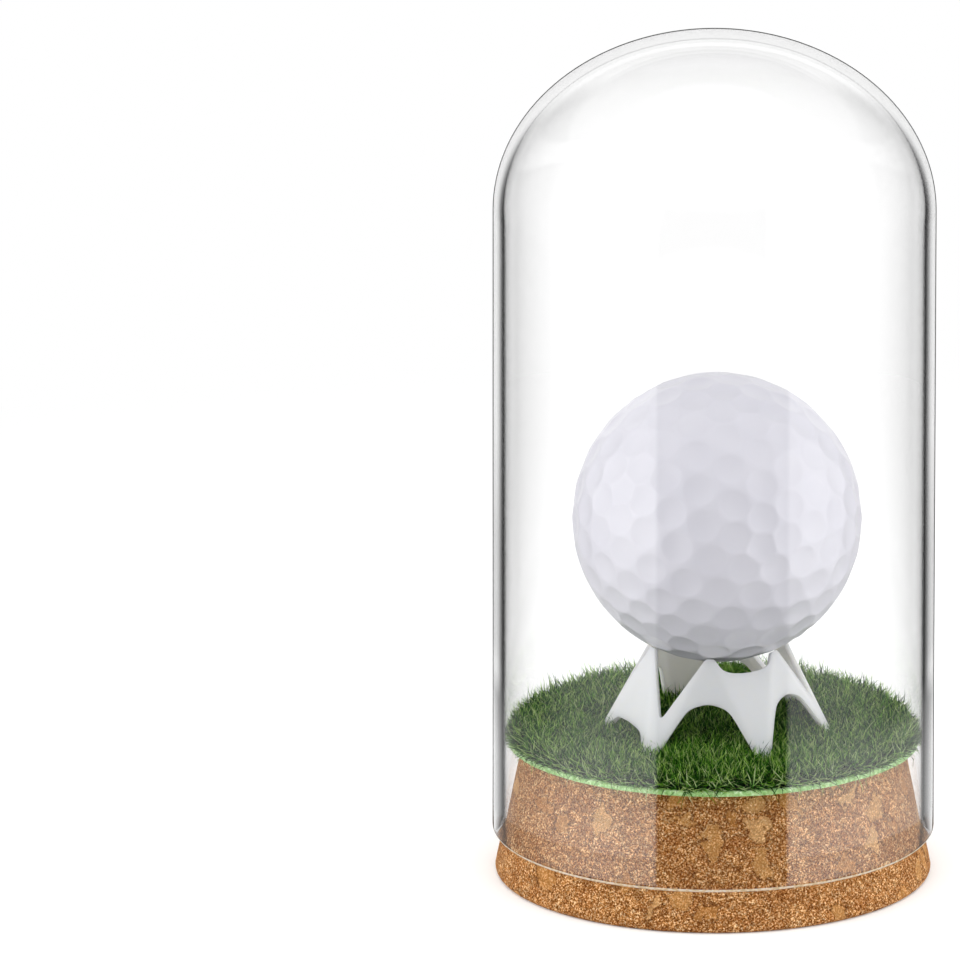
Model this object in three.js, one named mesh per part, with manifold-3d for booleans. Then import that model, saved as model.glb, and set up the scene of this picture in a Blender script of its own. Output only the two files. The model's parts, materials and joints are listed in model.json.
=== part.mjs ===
// A golf ball display case: a glass dome stands over a golf ball, which rests on a moulded
// stand in a disc of artificial turf, on a tapered cork base.
// Lengths are in millimetres and angles in degrees. +Z is up, and the origin is the middle
// of the flat underside of the cork. A value whose name ends in Share is a share of a size.
import * as THREE from 'three';
import { mergeVertices } from 'three/addons/utils/BufferGeometryUtils.js';
import Module from 'manifold-3d';

const wasm = await Module();
wasm.setup();

// Cork stopper, widest where it stands on the table: its taper is what its radius loses upwards,
// and the dome's clearance is the gap left to the glass at the dome's rim
const cork = {
  height: 20.4,
  taper: 4.1,
  domeClearance: 0.2,
  lowerRound: 0.8,
  upperRound: 0.4,
  roundSteps: 3,
  sides: 64,
};

// Thin sheet of glue between the cork and the turf
const adhesive = { thickness: 0.2, edgeInset: 0.8, sides: 48 };

// Turf disc: a backing, and a pile of strands in a thin top slice of that backing
const turf = {
  domeClearance: 0.8,
  backingThickness: 0.8,
  sliceThickness: 0.4,
  quarterSteps: 14,
  strandCount: 470,
  strandHeight: 2.4,
  strandHeightSpreadShare: 0.25,
  strandRadius: 0.36,
  strandSides: 3,
  strandLean: 0.8,
  strandRoot: 0.2,
  edgeMargin: 0.5,
  quarterMargin: 0.2,
  standClearance: 0.6,
  kneeHeightShare: 0.55,
  kneeLeanShare: 0.3,
  kneeRadiusShare: 0.8,
};

// Ball stand: a ring of folded panels with a foot below every second fold and a peak between
const stand = {
  feet: 6,
  footRadius: 17,
  peakRadius: 10.4,
  height: 13.9,
  wall: 0.8,
  footWidth: 1.3,
  peakWidth: 1.1,
  foldRound: 1.1,
  foldMostShare: 0.4,
  foldSteps: 2,
  bandSteps: 2,
  veeDepth: 8.8,
  veeRound: 0.6,
  saddleDepth: 2.4,
  saddleShoulder: 0.7,
  tipRound: 0.9,
  curveSteps: 4,
  turn: -66,
  offCentre: 0.5,
  lowArches: [1, 4],
  saddles: [0, 3],
};

// Arches between the stand's feet: the half width is at the ground, and the slope's two sizes say
// how high its straight part climbs and how far it leans in
const tallArch = { halfWidth: 6.9, height: 7.4, slopeHeight: 4.6, slopeIn: 2.4 };
const lowArch = { halfWidth: 6.4, height: 2.7, slopeHeight: 1.8, slopeIn: 1.1 };

// Golf ball of the usual size: a dimpled cover in two half cups around a solid core
const ball = {
  radius: 21.335,
  dimpleDepth: 0.36,
  dimpleDetail: 4,
  coverThickness: 1.4,
  coreClearance: 0.3,
  innerDetail: 2,
  tilt: [20, 12, 0],
  seatClearance: 0.22,
  seatBite: 0.3,
  seatDetail: 9,
};

// Glass dome: a straight tube with a flattened round top and a fire-rounded rim
const dome = {
  outerRadius: 32.5,
  wall: 1.5,
  rimHeight: 6.4,
  shoulderHeight: 101.1,
  crownHeight: 26.1,
  crownSteps: 8,
  rimSteps: 4,
  sides: 56,
};

// Room that a cutting shape keeps past the solid that it cuts
const overrun = 0.5;

const domeInnerRadius = dome.outerRadius - dome.wall;
const corkSlope = cork.taper / cork.height;
const corkBaseRadius = domeInnerRadius - cork.domeClearance + corkSlope * dome.rimHeight;
const corkTopRadius = corkBaseRadius - cork.taper;
const turfRadius = domeInnerRadius - turf.domeClearance;
const turfBottom = cork.height + adhesive.thickness;
const sliceBottom = turfBottom + turf.backingThickness;
const turfTop = sliceBottom + turf.sliceThickness;
const seatRadius = ball.radius + ball.seatClearance;
const seatRise = Math.sqrt(seatRadius ** 2 - stand.peakRadius ** 2);
const ballCentre = turfTop + stand.height - ball.seatBite + seatRise;
const footStep = 360 / stand.feet;

const finishes = {
  cork: { color: 0xc08a54, roughness: 0.85 },
  adhesive: { color: 0xe6dfc8, roughness: 0.5 },
  backing: { color: 0x74c95a, roughness: 0.7 },
  pile: { color: 0x3f7326, roughness: 0.6 },
  stand: { color: 0xe9e8e4, roughness: 0.45 },
  cover: { color: 0xe9e9f1, roughness: 0.3 },
  core: { color: 0xc9b458, roughness: 0.7 },
  glass: { color: 0xf2f7f7, roughness: 0.05, transparent: true, opacity: 0.25 },
};

const radians = THREE.MathUtils.degToRad;

function polar(radius, angle) {
  return new THREE.Vector2(radius * Math.cos(radians(angle)), radius * Math.sin(radians(angle)));
}

// Evenly scattered share from 0 to 1 for one of many like things
function scatter(index, step) {
  return (index * step) % 1;
}

function addMesh(group, name, geometry, finish) {
  const material = new THREE.MeshStandardMaterial({ metalness: 0, ...finish });
  const mesh = new THREE.Mesh(geometry, material);
  mesh.name = name;
  group.add(mesh);
  return mesh;
}

function geometryFrom(points, faces) {
  const geometry = new THREE.BufferGeometry();
  geometry.setAttribute('position', new THREE.Float32BufferAttribute(points.flat(), 3));
  geometry.setIndex(faces.flat());
  return geometry;
}

// Geometry to solid and back, for cutting and joining
function solidFrom(geometry) {
  const bare = geometry.clone();
  bare.deleteAttribute('normal');
  bare.deleteAttribute('uv');
  const merged = mergeVertices(bare);
  const vertProperties = new Float32Array(merged.attributes.position.array);
  const triVerts = new Uint32Array(merged.index.array);
  return new wasm.Manifold(new wasm.Mesh({ numProp: 3, vertProperties, triVerts }));
}

function geometryOf(solid) {
  const { vertProperties, triVerts } = solid.getMesh();
  const geometry = new THREE.BufferGeometry();
  geometry.setAttribute('position', new THREE.BufferAttribute(vertProperties, 3));
  geometry.setIndex(new THREE.BufferAttribute(triVerts, 1));
  const faceted = geometry.toNonIndexed();
  faceted.computeVertexNormals();
  return faceted;
}

function turned(points, sides) {
  const geometry = new THREE.LatheGeometry(points, sides);
  geometry.rotateX(Math.PI / 2);
  return geometry;
}

// Points of an arc in a turned outline, from one angle to another
function arcPoints(centre, radiusX, radiusY, from, to, steps) {
  const points = [];
  for (let step = 0; step <= steps; step++) {
    const angle = radians(from + ((to - from) * step) / steps);
    const x = centre.x + radiusX * Math.cos(angle);
    const y = centre.y + radiusY * Math.sin(angle);
    points.push(new THREE.Vector2(x, y));
  }
  return points;
}

// Closed solid through a stack of outlines with the same number of points
function loft(outlines, heights) {
  const points = [];
  const faces = [];
  const count = outlines[0].length;
  outlines.forEach((outline, row) => {
    outline.forEach((point) => points.push([point.x, point.y, heights[row]]));
  });
  for (let row = 0; row + 1 < outlines.length; row++) {
    for (let i = 0; i < count; i++) {
      const a = row * count + i;
      const b = row * count + ((i + 1) % count);
      faces.push([a, b, b + count], [a, b + count, a + count]);
    }
  }
  const last = (outlines.length - 1) * count;
  for (let i = 1; i + 1 < count; i++) {
    faces.push([0, i + 1, i], [last, last + i, last + i + 1]);
  }
  return geometryFrom(points, faces);
}

function makeCork() {
  const lower = new THREE.Vector2(corkBaseRadius - cork.lowerRound, cork.lowerRound);
  const upperRadius = corkTopRadius + corkSlope * cork.upperRound;
  const upper = new THREE.Vector2(upperRadius - cork.upperRound, cork.height - cork.upperRound);
  const profile = [
    new THREE.Vector2(0, 0),
    ...arcPoints(lower, cork.lowerRound, cork.lowerRound, -90, 0, cork.roundSteps),
    ...arcPoints(upper, cork.upperRound, cork.upperRound, 0, 90, cork.roundSteps),
    new THREE.Vector2(0, cork.height),
  ];
  return turned(profile, cork.sides);
}

function makeDisc(radius, bottom, thickness, sides) {
  const profile = [
    new THREE.Vector2(0, bottom),
    new THREE.Vector2(radius, bottom),
    new THREE.Vector2(radius, bottom + thickness),
    new THREE.Vector2(0, bottom + thickness),
  ];
  return turned(profile, sides);
}

// One strand: three-sided, bent at a knee and drawn to a point
function makeStrand({ place, lean, height, twist }) {
  const root = { rise: -turf.strandRoot, radiusShare: 1, leanShare: 0 };
  const knee = {
    rise: height * turf.kneeHeightShare,
    radiusShare: turf.kneeRadiusShare,
    leanShare: turf.kneeLeanShare,
  };
  const sides = turf.strandSides;
  const points = [];
  const faces = [];
  [root, knee].forEach((row) => {
    for (let side = 0; side < sides; side++) {
      const spoke = polar(turf.strandRadius * row.radiusShare, twist + (360 * side) / sides);
      const x = place.x + lean.x * row.leanShare + spoke.x;
      const y = place.y + lean.y * row.leanShare + spoke.y;
      points.push([x, y, turfTop + row.rise]);
    }
  });
  points.push([place.x + lean.x, place.y + lean.y, turfTop + height]);
  for (let side = 0; side < sides; side++) {
    const next = (side + 1) % sides;
    faces.push([side, next, next + sides], [side, next + sides, side + sides]);
    faces.push([side + sides, next + sides, 2 * sides]);
  }
  for (let side = 1; side + 1 < sides; side++) {
    faces.push([0, side + 1, side]);
  }
  return geometryFrom(points, faces);
}

// Whether a strand would touch one of the stand's feet, or a panel whose arch is low
function nearStand(place) {
  const local = place.clone().sub(new THREE.Vector2(stand.offCentre, 0));
  const reach = turf.standClearance + turf.strandRadius + turf.strandLean + stand.wall;
  const legReach = reach + stand.footWidth;
  for (let foot = 0; foot < stand.feet; foot++) {
    const start = polar(stand.footRadius, stand.turn + foot * footStep);
    const end = polar(stand.footRadius, stand.turn + (foot + 1) * footStep);
    if (local.distanceTo(start) < legReach) {
      return true;
    }
    const along = end.clone().sub(start);
    const fromStart = local.clone().sub(start);
    const share = THREE.MathUtils.clamp(fromStart.dot(along) / along.lengthSq(), 0, 1);
    const gap = local.distanceTo(start.addScaledVector(along, share));
    if (stand.lowArches.includes(foot) && gap < reach) {
      return true;
    }
  }
  return false;
}

// Places of all strands, in a sunflower pattern that covers the disc evenly
function strandPlaces() {
  const places = [];
  const goldenShare = (Math.sqrt(5) - 1) / 2;
  const leanShare = Math.SQRT2 - 1;
  const heightShare = Math.sqrt(3) - 1;
  const outer = turfRadius - turf.edgeMargin - turf.strandRadius;
  const cutMargin = turf.strandRadius + turf.quarterMargin;
  for (let i = 0; i < turf.strandCount; i++) {
    const radius = outer * Math.sqrt((i + 1) / turf.strandCount);
    const place = polar(radius, 360 * goldenShare * (i + 1));
    place.x = Math.sign(place.x) * Math.max(Math.abs(place.x), cutMargin);
    place.y = Math.sign(place.y) * Math.max(Math.abs(place.y), cutMargin);
    const leanLength = turf.strandLean * Math.sqrt(scatter(i, heightShare));
    const lean = polar(leanLength, 360 * scatter(i, leanShare));
    const tipRadius = place.clone().add(lean).length();
    if (tipRadius > turfRadius) {
      lean.multiplyScalar(-1);
    }
    const lossShare = turf.strandHeightSpreadShare * scatter(i, leanShare + heightShare);
    const height = turf.strandHeight * (1 - lossShare);
    if (!nearStand(place)) {
      places.push({ place, lean, height, twist: 360 * scatter(i, goldenShare) });
    }
  }
  return places;
}

// A quarter of the top slice of the backing, with its strands fused to it
function makePileQuarter(quarter, strands) {
  const from = quarter * (Math.PI / 2);
  const shape = new THREE.Shape();
  const start = polar(turfRadius, THREE.MathUtils.radToDeg(from));
  shape.moveTo(0, 0);
  shape.lineTo(start.x, start.y);
  shape.absarc(0, 0, turfRadius, from, from + Math.PI / 2, false);
  const settings = {
    depth: turf.sliceThickness,
    bevelEnabled: false,
    curveSegments: turf.quarterSteps,
  };
  const slice = new THREE.ExtrudeGeometry(shape, settings);
  slice.translate(0, 0, sliceBottom);
  let solid = solidFrom(slice);
  strands.forEach((strand) => {
    const angle = (strand.place.angle() / (Math.PI / 2)) % 4;
    if (Math.floor(angle) === quarter) {
      solid = solid.add(solidFrom(makeStrand(strand)));
    }
  });
  return geometryOf(solid);
}

// Outline of the stand's folded band at a share of its height, set in by a wall
function bandOutline(share, inset) {
  const footHalf = THREE.MathUtils.radToDeg(stand.footWidth / 2 / stand.footRadius);
  const peakHalf = THREE.MathUtils.radToDeg(stand.peakWidth / 2 / stand.peakRadius);
  const corners = [];
  for (let foot = 0; foot < stand.feet; foot++) {
    for (const side of [-1, 1]) {
      const low = polar(stand.footRadius - inset, foot * footStep + side * footHalf);
      const high = polar(stand.peakRadius - inset, (foot + side / 2) * footStep - side * peakHalf);
      corners.push(low.clone().lerp(high, share));
    }
  }
  return roundedCorners(corners, stand.foldRound, stand.foldSteps);
}

function roundedCorners(corners, round, steps) {
  const outline = [];
  const count = corners.length;
  corners.forEach((corner, i) => {
    const before = corners[(i + count - 1) % count];
    const after = corners[(i + 1) % count];
    const backShare = Math.min(round / corner.distanceTo(before), stand.foldMostShare);
    const onShare = Math.min(round / corner.distanceTo(after), stand.foldMostShare);
    const start = corner.clone().lerp(before, backShare);
    const end = corner.clone().lerp(after, onShare);
    const curve = new THREE.QuadraticBezierCurve(start, corner, end);
    outline.push(...curve.getPoints(steps));
  });
  return outline;
}

function makeBand(inset, past) {
  const outlines = [];
  const heights = [];
  for (let step = 0; step <= stand.bandSteps; step++) {
    const share = step / stand.bandSteps;
    const height = -past + (stand.height + 2 * past) * share;
    outlines.push(bandOutline(height / stand.height, inset));
    heights.push(height);
  }
  return solidFrom(loft(outlines, heights));
}

// Flat shape pushed out from the axis, standing up, towards an angle around the stand
function outwardCutter(shape, angle) {
  const settings = {
    depth: stand.footRadius + overrun,
    bevelEnabled: false,
    curveSegments: stand.curveSteps,
  };
  const cutter = new THREE.ExtrudeGeometry(shape, settings);
  cutter.rotateX(Math.PI / 2);
  cutter.rotateZ(radians(angle + 90));
  return solidFrom(cutter);
}

// Arch between two feet: straight slopes that run into a rounded top
function archShape({ halfWidth, height, slopeHeight, slopeIn }) {
  const flare = slopeIn / slopeHeight;
  const kneeHalf = halfWidth - slopeIn;
  const topHalf = halfWidth - flare * height;
  const shape = new THREE.Shape();
  shape.moveTo(-halfWidth - flare * overrun, -overrun);
  shape.lineTo(halfWidth + flare * overrun, -overrun);
  shape.lineTo(kneeHalf, slopeHeight);
  shape.quadraticCurveTo(topHalf, height, 0, height);
  shape.quadraticCurveTo(-topHalf, height, -kneeHalf, slopeHeight);
  shape.closePath();
  return shape;
}

// Gap between two peaks: rounded peak tips, then a deep vee or a shallow saddle
function gapShape(isSaddle) {
  const top = stand.height;
  const half = stand.peakRadius * Math.sin(radians(footStep / 2));
  const tip = stand.tipRound;
  const shape = new THREE.Shape();
  shape.moveTo(-half, top + overrun);
  shape.lineTo(-half, top);
  shape.absarc(-half, top - tip, tip, Math.PI / 2, 0, true);
  if (isSaddle) {
    const low = top - stand.saddleDepth;
    shape.quadraticCurveTo(-half + tip + stand.saddleShoulder, low, 0, low);
    shape.quadraticCurveTo(half - tip - stand.saddleShoulder, low, half - tip, top - tip);
  } else {
    const low = top - stand.veeDepth;
    shape.lineTo(-stand.veeRound, low + stand.veeRound);
    shape.quadraticCurveTo(0, low - stand.veeRound / 2, stand.veeRound, low + stand.veeRound);
    shape.lineTo(half - tip, top - tip);
  }
  shape.absarc(half, top - tip, tip, Math.PI, Math.PI / 2, true);
  shape.lineTo(half, top + overrun);
  shape.closePath();
  return shape;
}

function makeStand() {
  let solid = makeBand(0, 0).subtract(makeBand(stand.wall, overrun));
  for (let foot = 0; foot < stand.feet; foot++) {
    const footAngle = foot * footStep;
    const arch = archShape(stand.lowArches.includes(foot) ? lowArch : tallArch);
    const gap = gapShape(stand.saddles.includes(foot));
    solid = solid.subtract(outwardCutter(arch, footAngle + footStep / 2));
    solid = solid.subtract(outwardCutter(gap, footAngle));
  }
  const seat = new THREE.IcosahedronGeometry(seatRadius, ball.seatDetail);
  seat.translate(0, 0, ballCentre - turfTop);
  return geometryOf(solid.subtract(solidFrom(seat)));
}

// Round body covered in dimples: one shallow hollow around each corner of a fine icosahedron
function makeDimpledBall() {
  const bare = new THREE.IcosahedronGeometry(ball.radius, ball.dimpleDetail);
  bare.deleteAttribute('normal');
  bare.deleteAttribute('uv');
  const merged = mergeVertices(bare);
  const place = merged.attributes.position;
  const index = merged.index.array;
  const points = [];
  for (let i = 0; i < place.count; i++) {
    const centre = new THREE.Vector3().fromBufferAttribute(place, i);
    points.push(centre.setLength(ball.radius - ball.dimpleDepth).toArray());
  }
  const ridgeBeside = new Map();
  for (let i = 0; i < index.length; i += 3) {
    const corners = [index[i], index[i + 1], index[i + 2]];
    const ridge = new THREE.Vector3();
    corners.forEach((corner) => ridge.add(new THREE.Vector3().fromBufferAttribute(place, corner)));
    corners.forEach((corner, k) => ridgeBeside.set(`${corner} ${corners[(k + 1) % 3]}`, points.length));
    points.push(ridge.setLength(ball.radius).toArray());
  }
  const faces = [];
  ridgeBeside.forEach((ridge, edge) => {
    const [from, to] = edge.split(' ').map(Number);
    faces.push([from, ridgeBeside.get(`${to} ${from}`), ridge]);
  });
  const geometry = geometryFrom(points, faces);
  ball.tilt.forEach((angle, axis) => {
    geometry.applyMatrix4(new THREE.Matrix4().makeRotationAxis(
      new THREE.Vector3().setComponent(axis, 1),
      radians(angle),
    ));
  });
  return solidFrom(geometry);
}

// Half of the cover: the dimpled body without the room for the core, cut at the seam
function makeCoverHalf(dimpled, side) {
  const inner = new THREE.IcosahedronGeometry(ball.radius - ball.coverThickness, ball.innerDetail);
  const width = 2 * (ball.radius + overrun);
  const keep = new THREE.BoxGeometry(width, width, width);
  keep.translate(0, 0, (side * width) / 2);
  return geometryOf(dimpled.subtract(solidFrom(inner)).intersect(solidFrom(keep)));
}

function makeCore() {
  const coreRadius = ball.radius - ball.coverThickness - ball.coreClearance;
  return new THREE.IcosahedronGeometry(coreRadius, ball.innerDetail);
}

function makeDome() {
  const shoulder = new THREE.Vector2(0, dome.shoulderHeight);
  const rimRound = dome.wall / 2;
  const rim = new THREE.Vector2(domeInnerRadius + rimRound, dome.rimHeight + rimRound);
  const innerCrown = dome.crownHeight - dome.wall;
  const profile = [
    ...arcPoints(rim, rimRound, rimRound, -180, 0, dome.rimSteps),
    ...arcPoints(shoulder, dome.outerRadius, dome.crownHeight, 0, 90, dome.crownSteps),
    ...arcPoints(shoulder, domeInnerRadius, innerCrown, 90, 0, dome.crownSteps),
  ];
  profile.push(profile[0].clone());
  return turned(profile, dome.sides);
}

function makePart() {
  const part = new THREE.Group();
  const standGroup = new THREE.Group();
  standGroup.position.set(stand.offCentre, 0, turfTop);
  standGroup.rotation.z = radians(stand.turn);
  const ballGroup = new THREE.Group();
  ballGroup.position.set(stand.offCentre, 0, ballCentre);
  part.add(standGroup, ballGroup);

  addMesh(part, 'cork_base', makeCork(), finishes.cork);
  const adhesiveRadius = corkTopRadius - adhesive.edgeInset;
  const glue = makeDisc(adhesiveRadius, cork.height, adhesive.thickness, adhesive.sides);
  addMesh(part, 'turf_adhesive', glue, finishes.adhesive);
  const backingSides = 4 * turf.quarterSteps;
  const backing = makeDisc(turfRadius, turfBottom, turf.backingThickness, backingSides);
  addMesh(part, 'turf_backing', backing, finishes.backing);

  const strands = strandPlaces();
  const quarterNames = ['rear_right', 'rear_left', 'front_left', 'front_right'];
  quarterNames.forEach((name, quarter) => {
    addMesh(part, `turf_pile_${name}`, makePileQuarter(quarter, strands), finishes.pile);
  });

  addMesh(standGroup, 'ball_stand', makeStand(), finishes.stand);

  const dimpled = makeDimpledBall();
  addMesh(ballGroup, 'ball_core', makeCore(), finishes.core);
  addMesh(ballGroup, 'ball_cover_upper', makeCoverHalf(dimpled, 1), finishes.cover);
  addMesh(ballGroup, 'ball_cover_lower', makeCoverHalf(dimpled, -1), finishes.cover);

  addMesh(part, 'glass_dome', makeDome(), finishes.glass);
  return part;
}

export default makePart();
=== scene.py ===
import json
import math
from functools import partial

import bmesh
import bpy
import numpy as np
from mathutils import Matrix, Vector, noise

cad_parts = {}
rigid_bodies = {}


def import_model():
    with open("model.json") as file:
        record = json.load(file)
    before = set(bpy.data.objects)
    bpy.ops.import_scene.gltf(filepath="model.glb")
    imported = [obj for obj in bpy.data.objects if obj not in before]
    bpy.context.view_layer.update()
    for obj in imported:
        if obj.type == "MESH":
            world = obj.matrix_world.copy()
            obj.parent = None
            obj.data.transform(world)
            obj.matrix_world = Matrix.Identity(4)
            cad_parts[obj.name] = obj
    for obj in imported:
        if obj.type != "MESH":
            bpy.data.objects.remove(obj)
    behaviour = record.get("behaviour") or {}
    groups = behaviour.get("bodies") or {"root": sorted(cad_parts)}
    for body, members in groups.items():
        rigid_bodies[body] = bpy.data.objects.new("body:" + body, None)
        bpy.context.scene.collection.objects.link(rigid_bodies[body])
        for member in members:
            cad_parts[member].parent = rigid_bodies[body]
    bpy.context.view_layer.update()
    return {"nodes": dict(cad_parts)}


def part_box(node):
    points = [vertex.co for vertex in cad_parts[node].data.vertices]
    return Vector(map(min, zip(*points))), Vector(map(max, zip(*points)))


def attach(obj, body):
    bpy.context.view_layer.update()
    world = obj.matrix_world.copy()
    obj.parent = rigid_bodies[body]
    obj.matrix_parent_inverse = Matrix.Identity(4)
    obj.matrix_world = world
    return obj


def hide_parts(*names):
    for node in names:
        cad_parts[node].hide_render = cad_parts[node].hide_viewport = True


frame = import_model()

# Golf ball display case: a glass dome on a cork base, over a ball on a moulded stand in turf.
# Everything is in metres, +Z up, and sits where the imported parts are.
mm = 0.001
nodes = frame["nodes"]


# Small helpers for materials and node trees

def linearColour(hexText):
    values = [int(hexText[i:i + 2], 16) / 255 for i in (1, 3, 5)]
    return [v / 12.92 if v <= 0.04045 else ((v + 0.055) / 1.055) ** 2.4 for v in values] + [1.0]


def addNode(tree, kind, inputs=(), output=0, stops=(), **settings):
    # one node with its settings, what feeds it and, on a colour ramp, its stops. It is a shader node
    # unless its kind is given in full. What comes back is the output that the next node takes.
    node = tree.nodes.new(kind if "Node" in kind else "ShaderNode" + kind)
    for name, value in settings.items():
        setattr(node, name, value)
    for name, value in inputs.items() if isinstance(inputs, dict) else enumerate(inputs):
        if isinstance(value, bpy.types.NodeSocket):
            tree.links.new(value, node.inputs[name])
        else:
            isColour = isinstance(value, str) and value.startswith("#")
            node.inputs[name].default_value = linearColour(value) if isColour else value
    if stops:
        for _ in stops[2:]:
            node.color_ramp.elements.new(0.5)
        for element, (place, hexText) in zip(node.color_ramp.elements, stops):
            element.position = place
            element.color = linearColour(hexText)
    return node.outputs[output] if node.outputs else node


def newMaterial(name):
    # an empty material, what adds its nodes, and the place of each point on the object
    material = bpy.data.materials.new(name)
    material.use_nodes = True
    material.node_tree.nodes.clear()
    add = partial(addNode, material.node_tree)
    return material, add, add("TexCoord", output="Object")


def mottledMaterial(name, noises, stops, rough, looks, bump=None, roughBy=0):
    # Each noise has a size, a detail and a harshness. The first one clouds the colour and the last
    # one makes the relief, of this depth and strength. A pair of roughnesses follows one of them.
    material, add, place = newMaterial(name)
    fields = [add("TexNoise", {"Vector": place, "Scale": 1 / size, "Detail": detail, "Roughness": harsh})
              for size, detail, harsh in noises]
    if isinstance(rough, tuple):
        rough = add("MapRange", [fields[roughBy], 0, 1, *rough])
    looks = {"Base Color": add("ValToRGB", fields[:1], stops=stops), "Roughness": rough} | looks
    if bump:
        looks["Normal"] = add("Bump", {"Height": fields[-1], "Distance": bump[0], "Strength": bump[1]})
    add("OutputMaterial", [add("BsdfPrincipled", looks)])
    return material


def newTree(name, sizes):
    # a geometry tree with one named input for each of these sizes and things
    tree = bpy.data.node_groups.new(name, "GeometryNodeTree")
    for way in ("INPUT", "OUTPUT"):
        tree.interface.new_socket("Geometry", in_out=way, socket_type="NodeSocketGeometry")
    for label, value in sizes.items():
        kind = "NodeSocket" + type(value).__name__.capitalize()   # such as Float or Object
        tree.interface.new_socket(label, in_out="INPUT", socket_type=kind)
    add = partial(addNode, tree)
    return tree, add, add("NodeGroupInput").node.outputs


# Small helpers for meshes

def newObject(name, data):
    thing = bpy.data.objects.new(name, data)
    bpy.context.scene.collection.objects.link(thing)
    return thing


def makeObject(name, vertices, faces, material, smooth=True):
    mesh = bpy.data.meshes.new(name)
    mesh.from_pydata([tuple(v) for v in vertices], [], [tuple(f) for f in faces])
    mesh.materials.append(material)
    mesh.polygons.foreach_set("use_smooth", [smooth] * len(mesh.polygons))
    mesh.update()
    return newObject(name, mesh)


def ringPairs(sides):
    # each point of a ring with the next one
    return [(i, (i + 1) % sides) for i in range(sides)]


def gridFaces(rows, sides, first=0):
    # quads between rings of points, which face out when the rings run anticlockwise and go up
    starts = range(first, first + (rows - 1) * sides, sides)
    return [(s + a, s + b, s + sides + b, s + sides + a) for s in starts for a, b in ringPairs(sides)]


def fanFaces(start, sides, middle, up=True):
    # triangles from a ring of points to the one in its middle
    return [(start + a, start + b, middle) if up else (middle, start + b, start + a)
            for a, b in ringPairs(sides)]


def latheRows(profile, sides):
    # profile points (radius, height) spun round the Z axis
    angles = np.linspace(0, 2 * math.pi, sides, endpoint=False)
    rows = [np.stack([r * np.cos(angles), r * np.sin(angles), np.full(sides, z)], 1) for r, z in profile]
    return np.concatenate(rows)


def arcProfile(centre, radii, start, end, steps):
    angles = np.radians(np.linspace(start, end, steps + 1))
    return [(centre[0] + radii[0] * math.cos(a), centre[1] + radii[1] * math.sin(a)) for a in angles]


def curveAt(t, start, corner, end):
    # a quadratic curve that leaves towards its corner
    return (1 - t) ** 2 * start + 2 * t * (1 - t) * corner + t ** 2 * end


def applyModifiers(piece):
    # the evaluated shape becomes the piece's own plain mesh
    evaluated = piece.evaluated_get(bpy.context.evaluated_depsgraph_get())
    plain = bpy.data.meshes.new_from_object(evaluated)
    piece.modifiers.clear()
    old, piece.data = piece.data, plain
    bpy.data.meshes.remove(old)


def shapeByTree(piece, tree, sizes):
    # the tree's inputs are set by their identifiers before its result becomes the piece's mesh
    modifier = piece.modifiers.new(tree.name, "NODES")
    modifier.node_group = tree
    for item in tree.interface.items_tree:
        if item.in_out == "INPUT" and item.name in sizes:
            modifier[item.identifier] = sizes[item.name]
    applyModifiers(piece)


print("frame loaded, with", len(nodes), "nodes")


# Camera at the photograph's angle, from far off, as a long lens sees it
view = {
    "elevation": math.radians(16.8),
    "distance": 4.0,
    "acrossFrame": -34.345 * mm,   # the optical axis lies this far to the right of the origin, and
    "upFrame": 57.228 * mm,        # this far above it, both in the picture plane
    "lens": 1017.13,
    "sensor": 36.0,
    "sightRange": (0.1, 50),
}


def makeCamera():
    data = bpy.data.cameras.new("camera")
    data.lens = view["lens"]
    data.sensor_width = view["sensor"]
    data.clip_start, data.clip_end = view["sightRange"]
    camera = newObject("camera", data)
    sine, cosine = math.sin(view["elevation"]), math.cos(view["elevation"])
    target = Vector((view["acrossFrame"], 0, 0)) + Vector((0, sine, cosine)) * view["upFrame"]
    camera.location = target + Vector((0, -cosine, sine)) * view["distance"]
    camera.rotation_euler = (math.pi / 2 - view["elevation"], 0, 0)
    bpy.context.scene.camera = camera
    bpy.context.scene.view_settings.view_transform = "Standard"


makeCamera()
print("camera placed")


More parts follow.
